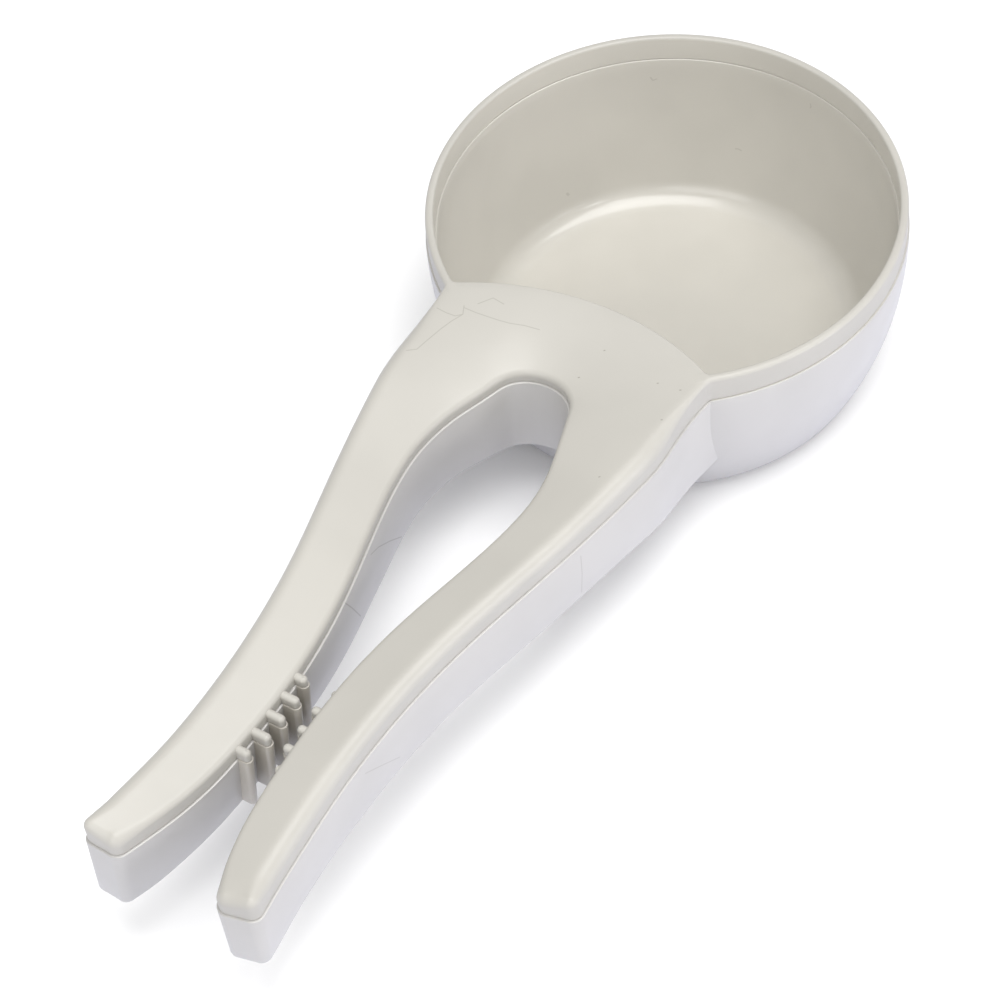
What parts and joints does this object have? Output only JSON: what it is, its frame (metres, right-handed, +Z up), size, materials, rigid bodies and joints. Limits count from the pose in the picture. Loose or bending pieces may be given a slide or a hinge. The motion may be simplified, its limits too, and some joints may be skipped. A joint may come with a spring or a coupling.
{
  "type": "clip-handled scoop",
  "caption": "Round measuring scoop whose forked handle is a bag clip: two springy legs with facing gripping ribs, moulded as an upper and a lower shell.",
  "frame": {"origin": "middle of the cup's flat underside, on the cup's turning axis", "axes": "+Z up out of the cup, -Y along the handle towards the tips, +X to the right for someone who looks from the tips to the cup"},
  "size_m": [0.0968, 0.2221, 0.0415],
  "materials": {
    "rim_plastic": "warm light grey moulded plastic, satin gloss",
    "bowl_plastic": "warm light grey moulded plastic, satin gloss",
    "yoke_plastic": "warm light grey moulded plastic, soft satin",
    "cover_plastic": "warm light grey moulded plastic, satin gloss",
    "shell_plastic": "warm light grey moulded plastic, soft satin"
  },
  "bodies": {
    "scoop": {"rim_and_web": "rim_plastic", "bowl": "bowl_plastic", "yoke_shell": "yoke_plastic"},
    "left_leg": {"left_leg_cover": "cover_plastic", "left_leg_shell": "shell_plastic"},
    "right_leg": {"right_leg_cover": "cover_plastic", "right_leg_shell": "shell_plastic"}
  },
  "joints": [
    {"name": "left_leg_flex", "type": "hinge", "parent": "scoop", "child": "left_leg", "pos_m": [-0.02742, -0.06816, 0.0357], "axis": [0, 0, -1], "range_deg": [-0.9, 4], "stiffness_Nm_per_rad": 6},
    {"name": "right_leg_flex", "type": "hinge", "parent": "scoop", "child": "right_leg", "pos_m": [0.02742, -0.06816, 0.0357], "axis": [0, 0, 1], "range_deg": [-0.9, 4], "stiffness_Nm_per_rad": 6}
  ]
}
